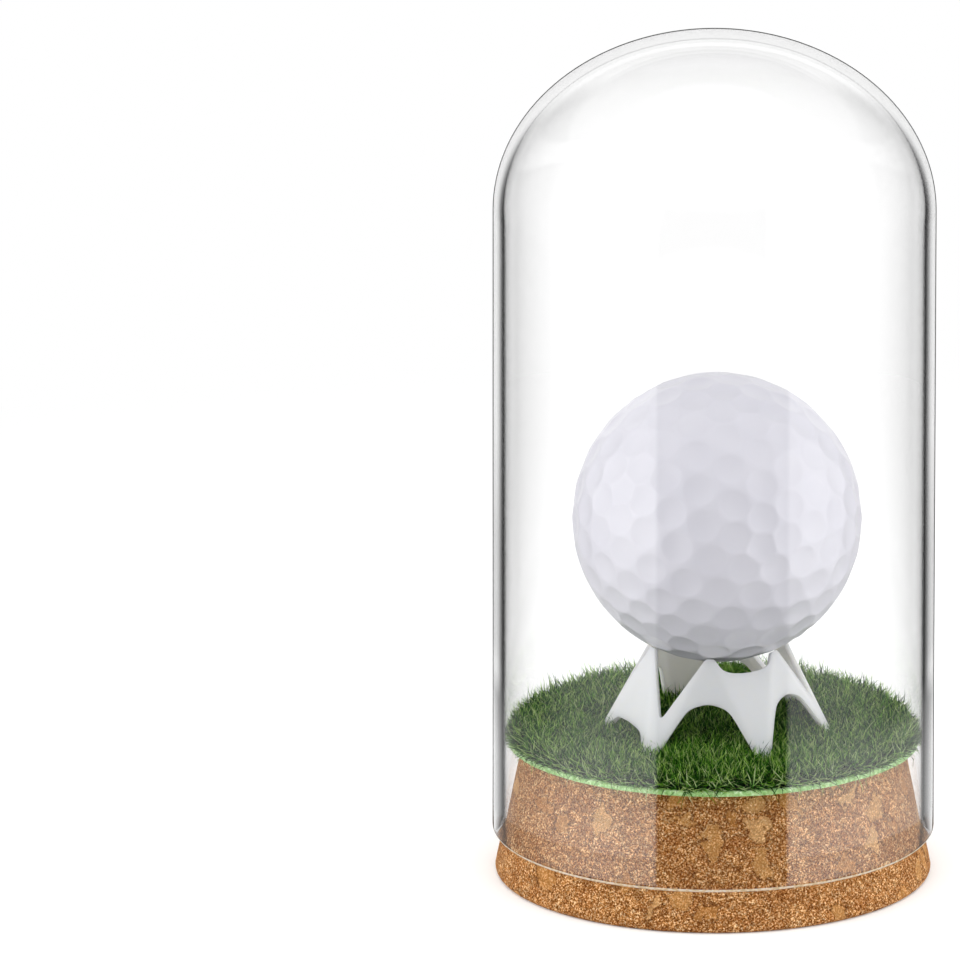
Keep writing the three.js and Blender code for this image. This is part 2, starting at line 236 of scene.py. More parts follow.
# Soft studio light: tall softboxes at both sides and one overhead, in a pale even room. A ring of
# panels round the case only mirrors in glass and gloss: its bright panels give the two upright
# bands of the photograph, and its rear part the white backdrop.
studio = {
    "reach": 0.62,
    "middle": 0.08,
    "keyAzimuth": 84, "keySize": (0.55, 0.8), "keyRadiance": 2.5,
    "topPlace": (0, -0.1, 0.75), "topAim": (0, 0, 0.05), "topSize": (0.6, 0.6), "topRadiance": 1.7,
    "ringReach": 0.82, "ringHeights": (-0.42, 0.6), "ringSides": 72,
    "ringRadiance": 1.38,
    # its lowest part is brighter, falls to a dimmer seam between the first two heights, and rises
    # to the ring's own level between the others
    "lowPanel": (-0.235, -0.215), "lowRadiance": 2.2,
    "dimPanel": (-0.195, -0.175), "dimRadiance": 1.12,
    # shade of the ring from the rear, round by the left, the front and the right: degrees and grey
    "ringShades": ((-180, "#d8d8d8"), (-157, "#d8d8d8"), (-146, "#404040"), (-124, "#3c3c3c"),
                   (-106, "#646464"), (-84, "#d4d4d4"), (-62, "#ffffff"), (-30.5, "#f0f0f0"),
                   (-29.5, "#1c1c1c"), (38, "#1c1c1c"), (39.5, "#f8f8f8"), (62, "#ffffff"),
                   (84, "#e0e0e0"), (106, "#8c8c8c"), (124, "#585858"), (146, "#404040"),
                   (157, "#d8d8d8"), (180, "#d8d8d8")),
    # the same below these heights, where the ring is paler at the sides
    "lowShadeEdge": (-0.224, -0.219),
    "lowShades": ((-180, "#d8d8d8"), (-150, "#707070"), (-124, "#6a6a6a"), (-106, "#9a9a9a"),
                  (-84, "#dcdcdc"), (-62, "#ffffff"), (-30.5, "#f0f0f0"), (-29.5, "#1c1c1c"),
                  (38, "#1c1c1c"), (39.5, "#f8f8f8"), (62, "#ffffff"), (84, "#f0f0f0"),
                  (104, "#c0c0c0"), (128, "#8c8c8c"), (150, "#707070"), (180, "#d8d8d8")),
    "roomLight": 0.86,        # what the room gives the object
    "roomGloss": 0.4,         # what it shows in glass and gloss, above and below the ring
    "throughGlass": 1.14,     # white behind the glass, with what its four faces take away
    "bentThroughGlass": 0.4,  # the same for sight that the glass has mirrored on its way
}


def addSoftbox(name, place, aim, size, radiance):
    light = bpy.data.lights.new(name, "AREA")
    light.shape = "RECTANGLE"
    light.size, light.size_y = size
    light.energy = radiance * math.pi * size[0] * size[1]   # watts that give this radiance
    lamp = newObject(name, light)
    lamp.location = place
    lamp.rotation_euler = (Vector(aim) - Vector(place)).to_track_quat("-Z", "Y").to_euler()
    lamp.visible_camera = lamp.visible_transmission = lamp.visible_glossy = False


def makeLights():
    angle = math.radians(studio["keyAzimuth"])   # from the front, towards each side
    aim = (0, 0, studio["middle"])
    for name, side in (("leftKey", -1), ("rightKey", 1)):
        place = (side * studio["reach"] * math.sin(angle), -studio["reach"] * math.cos(angle), aim[2])
        addSoftbox(name, place, aim, studio["keySize"], studio["keyRadiance"])
    addSoftbox("topKey", studio["topPlace"], studio["topAim"], studio["topSize"], studio["topRadiance"])


def sightKinds(add):
    # what kind a ray is, whether it is sight through glass, and whether glass or gloss mirrored it
    path = add("LightPath").node.outputs
    unlit = add("Math", [path["Diffuse Depth"], 0.5], operation="LESS_THAN")
    through = add("Math", [path["Is Transmission Ray"], unlit], operation="MULTIPLY")
    mirrored = add("Math", [path["Glossy Depth"], 0.5], operation="GREATER_THAN")
    return path, through, mirrored


def makePanelRing():
    material, add, place = newMaterial("studioPanels")   # white cloth panels lit from behind
    across, along, height = add("SeparateXYZ", [place]).node.outputs
    front = add("Math", [along, -1.0], operation="MULTIPLY")
    azimuth = add("Math", [across, front], operation="ARCTAN2")
    share = add("MapRange", [azimuth, -math.pi, math.pi])
    low, high = (add("ValToRGB", [share], stops=[((angle + 180) / 360, grey) for angle, grey in shades])
                 for shades in (studio["lowShades"], studio["ringShades"]))
    isHigh = add("MapRange", [height, *studio["lowShadeEdge"]])
    shade = add("Mix", {0: isHigh, 6: low, 7: high}, 2, data_type="RGBA")
    dim = studio["dimRadiance"]
    radiance = add("MapRange", [height, *studio["lowPanel"], studio["lowRadiance"], dim])
    regained = add("MapRange", [height, *studio["dimPanel"], 0.0, studio["ringRadiance"] - dim])
    glow = add("Emission", [shade, add("Math", [radiance, regained], operation="ADD")])
    # sight straight through the glass passes the ring, and sight that the glass mirrors doesn't
    mirrored = sightKinds(add)[2]
    add("OutputMaterial", [add("MixShader", [mirrored, add("BsdfTransparent"), glow])])
    edges = [(studio["ringReach"], z) for z in studio["ringHeights"]]
    sides = studio["ringSides"]
    ring = makeObject("panelRing", latheRows(edges, sides), gridFaces(2, sides), material, smooth=False)
    ring.visible_camera = ring.visible_diffuse = ring.visible_shadow = False


def makeWorld():
    world = bpy.data.worlds.new("studio")
    bpy.context.scene.world = world
    world.use_nodes = True
    world.node_tree.nodes.clear()
    add = partial(addNode, world.node_tree)
    path, through, mirrored = sightKinds(add)
    behind = add("Mix", {0: mirrored, 2: studio["throughGlass"], 3: studio["bentThroughGlass"]})
    strength = studio["roomLight"]
    for share, level in ((path["Is Glossy Ray"], studio["roomGloss"]), (through, behind),
                         (path["Is Camera Ray"], 1.0)):
        strength = add("Mix", {0: share, 2: strength, 3: level})
    add("OutputWorld", [add("Background", ["#ffffff", strength])])


# Plain pale floor, white to the eye, that keeps the case's shadow near it
floorSizes = {
    "radius": 3.0,
    "sides": 64,
    "colour": "#f2f2f2",
    "lift": 0.14,             # white that sight adds to the lit floor
    "fade": (0.10, 0.26),     # how far out it turns to plain white
}


def makeFloor():
    material, add, place = newMaterial("paintedStudioFloor")   # matt paint: even and without gloss
    path, through, mirrored = sightKinds(add)
    distance = add("VectorMath", [place], "Value", operation="LENGTH")
    fade = add("MapRange", [distance, *floorSizes["fade"]], interpolation_type="SMOOTHSTEP")
    seen = add("Math", [path["Is Camera Ray"], through], operation="MAXIMUM")
    lift = add("Math", [seen, floorSizes["lift"]], operation="MULTIPLY")
    paint = add("BsdfDiffuse", [floorSizes["colour"]])
    near = add("AddShader", [paint, add("Emission", {"Strength": lift})])
    whiteLevel = add("Mix", {0: through, 2: 1.0, 3: studio["throughGlass"]})
    white = add("Emission", {"Strength": whiteLevel})
    far = add("Math", [seen, fade], operation="MULTIPLY")
    floorSeen = add("MixShader", [far, near, white])
    # sight that the glass has mirrored passes the floor and meets the ring's panels instead
    passes = add("Math", [path["Is Transmission Ray"], mirrored], operation="MULTIPLY")
    add("OutputMaterial", [add("MixShader", [passes, floorSeen, add("BsdfTransparent")])])
    sides = floorSizes["sides"]
    rim = latheRows([(floorSizes["radius"], 0)], sides)
    floor = makeObject("floor", rim, [tuple(range(sides))], material, smooth=False)
    floor.visible_glossy = False


makeLights()
makePanelRing()
makeWorld()
makeFloor()
print("light and floor made")


# Glass dome, blown and fire-polished
glassLow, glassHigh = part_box("glass_dome")
glass = {
    "wall": 1.5 * mm,
    "crownRise": 26.1 * mm,
    "crownSteps": 40,
    "tubeSteps": 24,
    "rimSteps": 12,
    "groundSteps": (6, 11),   # those of the rim's steps that were ground, under its outer edge
    "sides": 192,
    "ior": 1.47,
    # painted edge shade: grey tints from sight straight on, at 0, to sight along the surface, at 1, that
    # paint the dark lines of the glass's edges
    "outerPaintedEdgeShade": [(0.0, "#ffffff"), (0.64, "#ffffff"), (0.655, "#f8f8f8"), (0.668, "#d8d8d8"),
                    (0.686, "#606060"), (0.716, "#606060"), (0.744, "#b4b4b4"), (0.777, "#e4e4e4"),
                    (0.82, "#f4f4f4"), (0.87, "#ffffff"), (1.0, "#ffffff")],
    "innerPaintedEdgeShade": [(0.0, "#ffffff"), (0.8, "#ffffff"), (1.0, "#e4e4e4")],
    "outline": (0.90, 0.925),       # where the thin painted dark outline at the glass's very edge sets in
    "outlineShade": "#8c8c8c",
    "paintedLineFade": (0.95, 0.35),       # where the painted dark line fades out, in shares of the crown's height, from its top down
    "shadowShade": "#f8f8f8",       # what the glass leaves of the light that falls through it
}


def glassMaterial(name, paintedEdgeShades):
    # Borosilicate glass, blown: clear and mirror smooth, with painted grey shade where sight skims its curve
    material, add, place = newMaterial(name)
    facing = add("LayerWeight", {"Blend": 0.5}, "Facing")
    # the painted dark line inside the tube's edge fades out over the crown
    fade = [glassHigh[2] - glass["crownRise"] * share for share in glass["paintedLineFade"]]
    crown = add("MapRange", [add("SeparateXYZ", [place], "Z"), *fade])
    # painted shade: a grey tint by facing that draws the dark lines near the glass's edge
    paintedEdgeTint = add("ValToRGB", [facing], stops=paintedEdgeShades)
    tint = add("Mix", {0: crown, 6: paintedEdgeTint, 7: "#ffffff"}, 2, data_type="RGBA")
    clear = add("BsdfPrincipled", {
        "Base Color": tint, "Roughness": 0.0, "IOR": glass["ior"], "Transmission Weight": 1.0})
    # a thin painted dark outline: grey see-through shade at the glass's very edge
    paintedOutlineShare = add("MapRange", [facing, *glass["outline"]])
    withPaintedOutline = add("MixShader", [paintedOutlineShare, clear, add("BsdfTransparent", [glass["outlineShade"]])])
    path = add("LightPath").node.outputs
    passes = add("Math", [path["Is Shadow Ray"], path["Is Diffuse Ray"]], operation="MAXIMUM")
    letThrough = add("BsdfTransparent", [glass["shadowShade"]])
    add("OutputMaterial", [add("MixShader", [passes, withPaintedOutline, letThrough])])
    return material


def groundGlassMaterial():
    # The same glass where the rim was ground level: fine scratches make it dull and whitish. Its cream
    # colour is painted light of the cork glowing through, and its palest specks are painted glints
    return mottledMaterial(
        "groundBorosilicateRim", [(0.5 * mm, 3.0, 0.5)],
        [(0.38, "#dcc8a0"), (0.5, "#fbecd0"), (0.6, "#fffaf0")], (0.25, 0.5),
        {"IOR": glass["ior"], "Transmission Weight": 0.4})


def makeGlassDome():
    outer, top, rise, steps, sides = (
        glassHigh[0], glassHigh[2], glass["crownRise"], glass["crownSteps"], glass["sides"])
    inner = outer - glass["wall"]
    rimRadius = glass["wall"] / 2
    shoulder = top - rise
    rimCentre = (outer - rimRadius, glassLow[2] + rimRadius)
    tube = list(np.linspace(rimCentre[1], shoulder, glass["tubeSteps"] + 1))
    outerCrown = arcProfile((0, shoulder), (outer, rise), 0, 90, steps)
    innerCrown = arcProfile((0, shoulder), (inner, rise - glass["wall"]), 90, 0, steps)
    # up over the outside from the rim's inner edge, then down the inside, each to its own top point
    profile = arcProfile(rimCentre, (rimRadius, rimRadius), -180, 0, glass["rimSteps"])
    profile += [(outer, z) for z in tube[1:]] + outerCrown[1:-1]
    downProfile = innerCrown[1:] + [(inner, z) for z in tube[-2:0:-1]]
    vertices = np.concatenate([
        latheRows(profile + downProfile, sides), [(0, 0, top), (0, 0, top - glass["wall"])]])
    down = len(profile) * sides
    last = len(vertices) - 2 - sides
    faces = gridFaces(len(profile), sides) + gridFaces(len(downProfile), sides, down)
    faces += [(last + a, last + b, b, a) for a, b in ringPairs(sides)]   # back to the rim's inner edge
    faces += fanFaces(down - sides, sides, len(vertices) - 2)
    faces += fanFaces(down, sides, len(vertices) - 1, up=False)
    # the outer and inner faces each carry their own painted edge shade
    blown = glassMaterial("blownBorosilicateGlass", glass["outerPaintedEdgeShade"])
    dome = makeObject("glassDome", vertices, faces, blown)
    dome.data.materials.append(glassMaterial("innerBorosilicateGlass", glass["innerPaintedEdgeShade"]))
    dome.data.materials.append(groundGlassMaterial())
    groundStart, groundEnd = (step * sides for step in glass["groundSteps"])
    for face in dome.data.polygons:
        centre = face.center
        outwards = Vector((centre.x, centre.y, max(0.0, centre.z - shoulder)))
        face.material_index = 0 if face.normal.dot(outwards) > 0 else 1
        if groundStart <= face.index < groundEnd:
            face.material_index = 2
    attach(dome, "dome")
    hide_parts("glass_dome")


makeGlassDome()
print("glass dome made")


# Cork base, turned from a block of pressed granules
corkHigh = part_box("cork_base")[1]
cork = {
    "taper": 4.1 * mm,
    "lowerRound": 0.8 * mm, "lowerSteps": 6,
    "upperRound": 0.4 * mm, "upperSteps": 4,
    "sides": 480,
    "sideRows": 110,
    "faceRows": 10,
    "middle": 0.4 * mm,       # radius of the small fan that closes each face
    "relief": 0.07 * mm,
    "reliefSizes": (0.9 * mm, 0.35 * mm),
    "fineShare": 0.6,
    "reliefDepth": 2 * mm,    # the relief reaches this far in from the top edge, and no further
    "crumb": 0.26 * mm,       # the crumbs and pores that make the speckle
    "granule": 1.5 * mm,      # granules that differ a little in tone
    "flake": 4.0 * mm,        # the larger pale flakes
    "wave": 1.6 * mm,         # the waves that bend the cells of both, by these lengths
    "granuleBend": 5.2 * mm,
    "flakeBend": 3.4 * mm,
    # distances from a cell's border are shares of its size
    "curlEdge": (0.03, 0.13), "curlShare": 0.62,
    "flakeFrom": 0.74,        # cells whose tone is above this are flakes, about one in four
    "flakeEdge": (0.11, 0.15), "flakeShare": 0.40,
    "outlineOut": (0.05, 0.09), "outlineIn": (0.09, 0.13), "outlineShare": 0.7,
}


def corkMaterial():
    # Agglomerated cork, sanded: warm tan crumbs with dark pores between, and a few smooth pale flakes
    material, add, place = newMaterial("sandedAgglomeratedCork")
    waves = add("TexNoise", {
        "Vector": place, "Scale": 1 / cork["wave"], "Detail": 4.0, "Roughness": 0.65}, "Color")
    shift = add("VectorMath", [waves, (0.5, 0.5, 0.5)], operation="SUBTRACT")
    cells = []   # tones and distance from the border, of the granules and of the flakes
    for kind in ("granule", "flake"):
        bend = add("VectorMath", [shift, (cork[kind + "Bend"],) * 3, place], operation="MULTIPLY_ADD")
        pattern = {"Vector": bend, "Scale": 1 / cork[kind]}
        cells.append(add("SeparateColor", [add("TexVoronoi", pattern, "Color")]).node.outputs)
        cells.append(add("TexVoronoi", pattern, "Distance", feature="DISTANCE_TO_EDGE"))
    granuleTones, curls, flakeTones, borders = cells
    # crumbs: bright and dark specks a few tenths of a millimetre across
    crumbs = add("TexNoise", {"Vector": place, "Scale": 1 / cork["crumb"], "Detail": 5.0, "Roughness": 0.75})
    speckle = add("ValToRGB", [crumbs], stops=[
        (0.37, "#3c1902"), (0.44, "#834a1a"), (0.50, "#bc7e42"), (0.55, "#dea86c"), (0.61, "#ffe7ba")])
    granuleTint = add("ValToRGB", [granuleTones[0]], stops=[
        (0.0, "#dccdc0"), (0.35, "#f2eae3"), (0.75, "#ffffff"), (1.0, "#ffffff")])
    toned = add("Mix", {0: 1.0, 6: speckle, 7: granuleTint}, 2, data_type="RGBA", blend_type="MULTIPLY")
    # the granules' edges are thin dark curls
    curlShare = add("MapRange", [curls, *cork["curlEdge"], cork["curlShare"], 0.0])
    toned = add("Mix", {0: curlShare, 6: toned, 7: "#5a3417"}, 2, data_type="RGBA")
    # flakes: some of the larger cells are smooth and pale, with a dark outline
    pale = add("ValToRGB", [flakeTones[1]], stops=[(0.0, "#ba8042"), (0.6, "#d09e60"), (1.0, "#e6ba80")])
    chosen = add("Math", [flakeTones[0], cork["flakeFrom"]], operation="GREATER_THAN")
    inside = add("MapRange", [borders, *cork["flakeEdge"]])
    outIn = add("MapRange", [borders, *cork["outlineIn"], 1.0, 0.0])
    outOut = add("MapRange", [borders, *cork["outlineOut"]])
    for factors, tint in (((chosen, inside, cork["flakeShare"]), pale),
                          ((outIn, outOut, chosen, cork["outlineShare"]), "#4a260c")):
        share = factors[0]
        for factor in factors[1:]:
            share = add("Math", [share, factor], operation="MULTIPLY")
        toned = add("Mix", {0: share, 6: toned, 7: tint}, 2, data_type="RGBA")
    surface = add("BsdfPrincipled", {
        "Base Color": toned, "Roughness": add("MapRange", [crumbs, 0, 1, 0.95, 0.7]), "IOR": 1.45,
        "Normal": add("Bump", {"Height": crumbs, "Distance": 0.16 * mm, "Strength": 0.5}),
        "Specular IOR Level": 0.1})
    add("OutputMaterial", [surface])
    return material


def makeCorkBase():
    baseRadius, height, sides, faceRows = corkHigh[0], corkHigh[2], cork["sides"], cork["faceRows"]
    low, high = cork["lowerRound"], cork["upperRound"]
    upperRadius = baseRadius - cork["taper"] + cork["taper"] / height * high
    profile = [(r, 0) for r in np.linspace(cork["middle"], baseRadius - low, faceRows)]
    profile += arcProfile((baseRadius - low, low), (low, low), -90, 0, cork["lowerSteps"])[1:]
    for z in np.linspace(low, height - high, cork["sideRows"])[1:-1]:
        profile.append((baseRadius + (upperRadius - baseRadius) * (z - low) / (height - high - low), z))
    profile += arcProfile((upperRadius - high, height - high), (high, high), 0, 90, cork["upperSteps"])
    profile += [(r, height) for r in np.linspace(upperRadius - high, cork["middle"], faceRows)[1:]]
    vertices = latheRows(profile, sides)
    radii = np.hypot(vertices[:, 0], vertices[:, 1])
    for i, point in enumerate(vertices):   # shallow granule relief, inwards only, and none under the case
        if radii[i] >= upperRadius - cork["reliefDepth"]:
            coarse, fine = (max(0.0, noise.noise(Vector(point) / size)) for size in cork["reliefSizes"])
            vertices[i, :2] *= 1 - cork["relief"] * (coarse + cork["fineShare"] * fine) / radii[i]
    bottom = len(vertices)
    vertices = np.concatenate([vertices, [(0, 0, 0), (0, 0, height)]])
    faces = gridFaces(len(profile), sides) + fanFaces(0, sides, bottom, up=False)
    faces += fanFaces(bottom - sides, sides, bottom + 1)
    base = makeObject("corkBase", vertices, faces, corkMaterial())
    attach(base, "base")
    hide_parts("cork_base")


makeCorkBase()
print("cork base made")


# Ball stand: a moulded ring of folded panels, on six feet and with six peaks between them
standLow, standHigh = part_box("ball_stand")
ballLow, ballHigh = (Vector(c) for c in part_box("ball_cover_lower"))
ballHigh[2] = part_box("ball_cover_upper")[1][2]
ballRadius = (ballHigh[2] - ballLow[2]) / 2
ballCentre = (ballLow + ballHigh) / 2
stand = {
    "feet": 6,
    "footRadius": 17 * mm,
    "peakRadius": 10.4 * mm,
    "height": 13.9 * mm,
    "wall": 0.8 * mm,
    "footWidth": 1.3 * mm,
    "peakWidth": 1.1 * mm,
    "foldRound": 0.6 * mm,
    "foldMostShare": 0.42,    # of a panel's width, where it is narrow
    # half the opening's width, its height, and how far its straight flanks go up and in
    "tallArch": (6.9 * mm, 7.4 * mm, 4.6 * mm, 2.4 * mm),
    "lowArch": (6.4 * mm, 2.7 * mm, 1.8 * mm, 1.1 * mm),
    "lowArches": (1, 4),      # the panels that have a low one
    "veeDepth": 8.8 * mm,
    "veeRound": 0.6 * mm,
    "saddleDepth": 2.4 * mm,
    "saddleShoulder": 0.7 * mm,
    "saddles": (0, 3),        # the feet that have a shallow saddle over them, and not a vee
    "tipRound": 0.9 * mm,
    "turn": -66,
    "seatClearance": 0.12 * mm,
    "samples": 160,
    "curveSteps": 40,
    "arcColumns": 5,
    "flatColumns": 16,
    "rows": 22,
}


def curveHeight(across, points):
    # the height at one distance across of a curve through (across, height) points
    t = np.linspace(0, 1, stand["curveSteps"])
    distances, heights = (curveAt(t, *values) for values in zip(*points))
    return float(np.interp(across, distances, heights))


def archHeight(across, sizes):
    # how high the opening reaches at this distance from its middle, or -1 beside it
    halfWidth, height, slopeHeight, slopeIn = sizes
    flare = slopeIn / slopeHeight
    knee = halfWidth - slopeIn
    if across >= halfWidth:
        return -1.0
    if across >= knee:
        return (halfWidth - across) / flare
    return curveHeight(across, [(0, height), (halfWidth - flare * height, height), (knee, slopeHeight)])


def gapHeight(across, isSaddle):
    # height of the upper edge at this distance from the middle of the gap between two peaks
    top, tip = stand["height"], stand["tipRound"]
    half = stand["peakRadius"] * math.sin(math.pi / stand["feet"])
    if across >= half:
        return top
    if across >= half - tip:
        return top - tip + math.sqrt(max(0.0, tip ** 2 - (half - across) ** 2))
    if isSaddle:
        low = top - stand["saddleDepth"]
        shoulder = half - tip - stand["saddleShoulder"]
        return curveHeight(across, [(0, low), (shoulder, low), (half - tip, top - tip)])
    low = top - stand["veeDepth"]
    soft = stand["veeRound"]
    if across >= soft:
        return low + soft + (across - soft) * (top - tip - low - soft) / (half - tip - soft)
    return curveHeight(across, [(0, low), (soft / 2, low), (soft, low + soft)])


def towards(corner, other):
    # where a fold's rounding ends on the way from its corner to another
    share = min(stand["foldRound"] / np.linalg.norm(corner - other), stand["foldMostShare"])
    return corner + (other - corner) * share


def standOutline(share):
    # the folded ring's outline at a share of its height, with rounded folds and even columns between
    step = 2 * math.pi / stand["feet"]
    corners = []
    for foot in range(stand["feet"]):
        for side in (-1, 1):
            lowAngle = foot * step + side * stand["footWidth"] / 2 / stand["footRadius"]
            highAngle = (foot + side / 2) * step - side * stand["peakWidth"] / 2 / stand["peakRadius"]
            low, high = (radius * np.array([math.cos(angle), math.sin(angle)]) for radius, angle in
                         ((stand["footRadius"], lowAngle), (stand["peakRadius"], highAngle)))
            corners.append(low + (high - low) * share)
    outline = []
    for i, corner in enumerate(corners):
        before, after = corners[i - 1], corners[(i + 1) % len(corners)]
        start, end, nextStart = towards(corner, before), towards(corner, after), towards(after, corner)
        for t in np.linspace(0, 1, stand["arcColumns"], endpoint=False):
            outline.append(curveAt(t, start, corner, end))
        for t in np.linspace(0, 1, stand["flatColumns"], endpoint=False):
            outline.append(end + (nextStart - end) * t)
    return np.array(outline)


def standSpan(points, heights):
    # lowest and highest share of a column that the arches and gaps leave
    step = 2 * math.pi / stand["feet"]
    lowest, highest = 0.0, 1.0
    last = len(points) - 1
    for i, ((x, y), z) in enumerate(zip(points, heights)):
        angle = math.atan2(y, x) / step
        panel = math.floor(angle) % stand["feet"]
        foot = round(angle) % stand["feet"]
        radius = math.hypot(x, y)
        fromPanel = radius * abs(math.sin((angle - math.floor(angle) - 0.5) * step))
        fromFoot = radius * abs(math.sin((angle - round(angle)) * step))
        arch = stand["lowArch"] if panel in stand["lowArches"] else stand["tallArch"]
        if z < archHeight(fromPanel, arch):
            lowest = i / last
        if z > gapHeight(fromFoot, foot in stand["saddles"]) and i / last < highest:
            highest = i / last
    return lowest, highest


def plasticMaterial():
    # Polypropylene, moulded: soft matt white that lets a little light through its thin wall
    return mottledMaterial(
        "mouldedPolypropylene", [(6 * mm, 2.0, 0.5), (0.25 * mm, 3.0, 0.6)],
        [(0.3, "#fcf9f8"), (0.7, "#fffdfc")], (0.42, 0.55),
        {"IOR": 1.49, "Subsurface Weight": 0.85, "Subsurface Scale": 3.0 * mm,
         "Subsurface Radius": (1.0, 0.93, 0.80)}, bump=(0.01 * mm, 0.35), roughBy=1)


def makeStand():
    samples, rows, height = stand["samples"], stand["rows"], stand["height"]
    shares = np.linspace(0, 1, samples + 1)
    outlines = np.array([standOutline(share) for share in shares])
    columns = outlines.shape[1]
    spans = [standSpan(outlines[:, column], shares * height) for column in range(columns)]
    turn = Matrix.Rotation(math.radians(stand["turn"]), 3, "Z")
    middle = Vector(((standLow[0] + standHigh[0]) / 2, (standLow[1] + standHigh[1]) / 2, standLow[2]))
    vertices = []
    # rows crowd towards both edges, so that the rims come out round
    for ease in 0.5 - 0.5 * np.cos(np.linspace(0, math.pi, rows)):
        for column, (low, high) in enumerate(spans):
            share = low + (high - low) * ease
            index = min(int(share * samples), samples - 1)
            here, above = outlines[index:index + 2, column]
            x, y = here + (above - here) * (share * samples - index)
            vertices.append(tuple(turn @ Vector((x, y, share * height)) + middle))
    piece = makeObject("ballStand", vertices, gridFaces(rows, columns), plasticMaterial())
    thick = piece.modifiers.new("wall", "SOLIDIFY")
    thick.thickness = stand["wall"]
    thick.offset = -1
    thick.use_even_offset = True
    soft = piece.modifiers.new("softEdges", "SUBSURF")
    soft.levels = soft.render_levels = 1
    applyModifiers(piece)
    seat = ballRadius + stand["seatClearance"]
    for vertex in piece.data.vertices:   # the tips are worn to the ball's curve
        away = vertex.co - ballCentre
        if away.length < seat:
            vertex.co = ballCentre + away.normalized() * seat
    piece.data.polygons.foreach_set("use_smooth", [True] * len(piece.data.polygons))
    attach(piece, "stand")
    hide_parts("ball_stand")
    print("ball stand made, with", len(piece.data.polygons), "faces")
    return piece


standPiece = makeStand()


# Golf ball: one dimple over each corner of a finely divided icosahedron
ball = {
    "division": 5,            # parts of an icosahedron's edge, which gives 252 dimples
    "fineness": 15,           # mesh edges from one dimple's middle to the next
    "depth": 0.36 * mm,
    "dimpleRadius": 2.42 * mm,
    "rimShare": 0.86,
    "tilt": (20, 12, 0),
}


def dividedIcosahedron(division):
    # corners and faces of the ball as an icosahedron whose faces are cut into even small triangles
    form = bmesh.new()
    bmesh.ops.create_icosphere(form, subdivisions=1, radius=1)
    places, faces, known = [], [], {}
    tilt = Matrix.Identity(3)
    for angle, axis in zip(ball["tilt"], "XYZ"):
        tilt = Matrix.Rotation(math.radians(angle), 3, axis) @ tilt

    def corner(point):
        point = point.normalized() * ballRadius
        key = tuple(round(c / ballRadius, 6) for c in point)
        if key not in known:
            known[key] = len(places)
            places.append(tilt @ point + ballCentre)
        return known[key]

    for face in form.faces:
        a, b, c = (v.co.copy() for v in face.verts)
        rows = []
        for i in range(division + 1):
            points = [a + (b - a) * ((i - j) / division) + (c - a) * (j / division) for j in range(i + 1)]
            rows.append([corner(point) for point in points])
        for i in range(division):
            for j in range(i + 1):
                faces.append((rows[i][j], rows[i + 1][j], rows[i + 1][j + 1]))
                if j < i:
                    faces.append((rows[i][j], rows[i + 1][j + 1], rows[i][j + 1]))
    form.free()
    return places, faces


def coverMaterial():
    # Urethane ball cover, painted and clear coated: white with a faint cool cast and a soft shine
    return mottledMaterial(
        "lacqueredUrethaneCover", [(8 * mm, 3.0, 0.5), (0.4 * mm, 2.0, 0.5)],
        [(0.3, "#d0cfd8"), (0.7, "#d6d5dd")], (0.30, 0.38),
        {"IOR": 1.5, "Coat Weight": 0.35, "Coat Roughness": 0.12}, bump=(0.006 * mm, 0.3))


def dimpleTree(sizes):
    # sinks each point of a ball by its distance to the nearest dimple's middle
    tree, add, given = newTree("dimples", sizes)
    middles = add("GeometryNodeObjectInfo", {"Object": given["Middles"]}, "Geometry",
                  transform_space="ORIGINAL")
    near = add("GeometryNodeProximity", {"Geometry": middles}, "Distance", target_element="POINTS")
    share = add("Math", [near, given["Radius"]], operation="DIVIDE")
    # bowl: 1 in the middle, falling as a parabola, then eased into the land between the dimples
    square = add("Math", [share, share], operation="MULTIPLY")
    sink = add("Math", [1.0, square], operation="SUBTRACT")
    edge = add("MapRange", [share, 1.0, given["Rim Share"]], interpolation_type="SMOOTHSTEP")
    for factor in (edge, given["Depth"], -1.0):
        sink = add("Math", [sink, factor], operation="MULTIPLY")
    normal = add("GeometryNodeInputNormal")
    offset = add("VectorMath", {0: normal, "Scale": sink}, operation="SCALE")
    moved = add("GeometryNodeSetPosition", {"Geometry": given["Geometry"], "Offset": offset})
    real = add("GeometryNodeRealizeInstances", {"Geometry": moved})
    done = add("GeometryNodeSetMaterial", {"Geometry": real, "Material": given["Finish"]})
    add("NodeGroupOutput", [done])
    return tree


def makeBall():
    material = coverMaterial()
    middles = dividedIcosahedron(ball["division"])[0]
    middlePoints = makeObject("dimpleMiddles", middles, [], material)
    piece = makeObject("ballCover", *dividedIcosahedron(ball["division"] * ball["fineness"]), material)
    sizes = {"Depth": ball["depth"], "Radius": ball["dimpleRadius"], "Rim Share": ball["rimShare"],
             "Middles": middlePoints, "Finish": material}
    shapeByTree(piece, dimpleTree(sizes), sizes)
    bpy.data.objects.remove(middlePoints)
    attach(piece, "ball")
    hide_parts("ball_cover_upper", "ball_cover_lower")
    print("ball made, with", len(piece.data.polygons), "faces")


makeBall()


